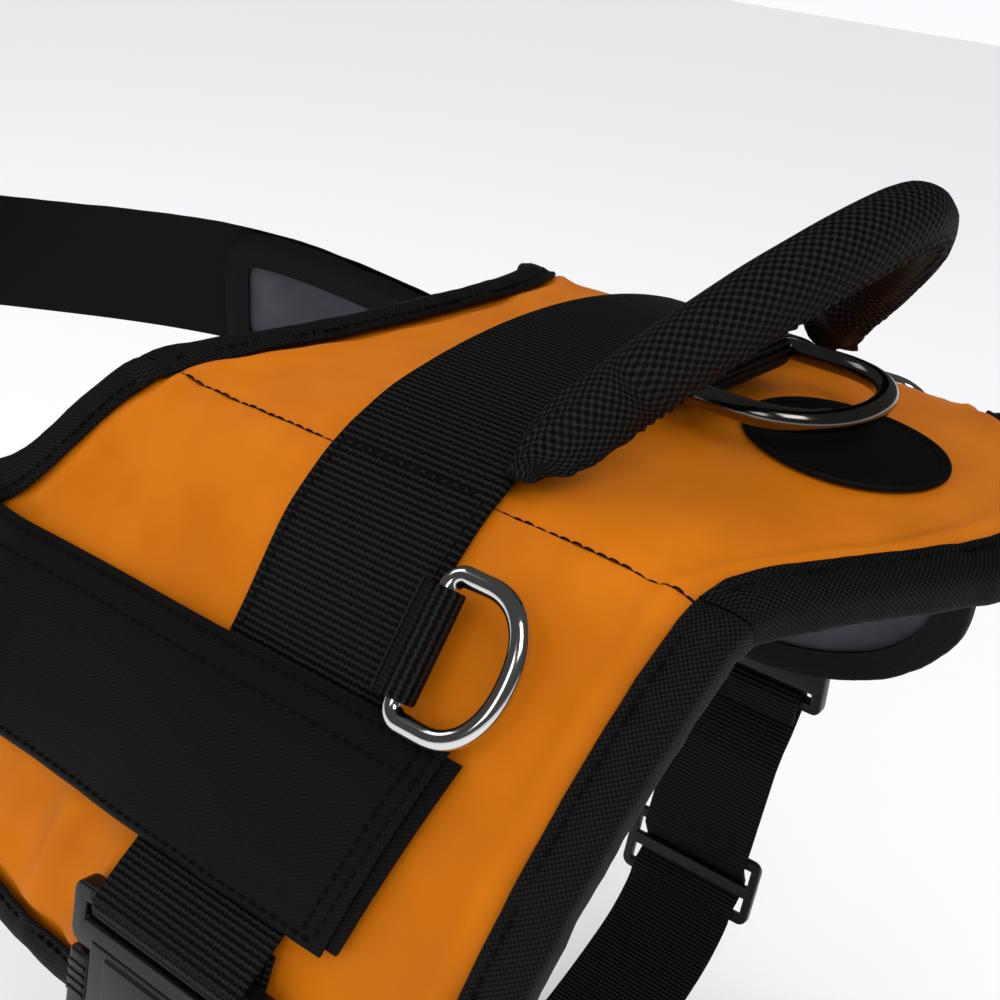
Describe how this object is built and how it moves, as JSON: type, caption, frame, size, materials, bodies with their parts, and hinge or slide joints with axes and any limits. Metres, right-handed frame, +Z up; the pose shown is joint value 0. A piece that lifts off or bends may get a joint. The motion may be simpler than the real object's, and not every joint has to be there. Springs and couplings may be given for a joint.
{
  "type": "dog harness",
  "caption": "Padded dog harness with a saddle, chest, girth and belly straps, a grab handle, leash rings and side release buckles.",
  "frame": {"origin": "underside of the saddle over the spine, under the middle of the girth webbing, where the dog's back carries it", "axes": "+X the dog's left side, -Y towards its head, +Z up"},
  "size_m": [0.321, 0.5319, 0.3879],
  "materials": {
    "orange_satin": "satin nylon",
    "grey_lining": "satin lining",
    "black_binding": "woven tape",
    "black_webbing": "ribbed webbing",
    "black_strap": "fine twill",
    "black_cover": "coarse weave",
    "patch_rubber": "matte",
    "buckle_plastic": "moulded",
    "bright_nickel": "polished nickel",
    "dark_nickel": "polished black nickel"
  },
  "bodies": {
    "harness": {"shell_top": "orange_satin", "shell_left": "orange_satin", "shell_right": "orange_satin", "lining_top": "grey_lining", "lining_left": "grey_lining", "lining_right": "grey_lining", "binding_front": "black_binding", "binding_rear": "black_binding", "binding_left": "black_binding", "binding_right": "black_binding", "girth_webbing": "black_webbing", "belly_strap": "black_webbing", "tape_top": "black_webbing", "tape_left": "black_webbing", "tape_right": "black_webbing", "chest_strap": "black_strap", "loop_ply_left": "black_strap", "loop_ply_right": "black_strap", "handle": "black_cover", "patch": "patch_rubber", "buckle_socket_left": "buckle_plastic", "buckle_socket_right": "buckle_plastic", "buckle_plug_left": "buckle_plastic", "buckle_plug_right": "buckle_plastic", "slider_left": "buckle_plastic", "slider_right": "buckle_plastic"},
    "leash_ring": {"ring_top": "dark_nickel"},
    "left_ring": {"ring_left": "bright_nickel"},
    "right_ring": {"ring_right": "bright_nickel"}
  },
  "joints": [
    {"name": "leash_ring_turn", "type": "hinge", "parent": "harness", "child": "leash_ring", "pos_m": [0, 0.031, 0.0185], "axis": [1, 0, 0], "range_deg": [0, 120]},
    {"name": "left_ring_turn", "type": "hinge", "parent": "harness", "child": "left_ring", "pos_m": [0.11576, 0.0272, -0.02043], "axis": [0.5612, 0, -0.8277], "range_deg": [0, 150]},
    {"name": "right_ring_turn", "type": "hinge", "parent": "harness", "child": "right_ring", "pos_m": [-0.11576, 0.0272, -0.02043], "axis": [0.5612, 0, 0.8277], "range_deg": [0, 150]}
  ]
}
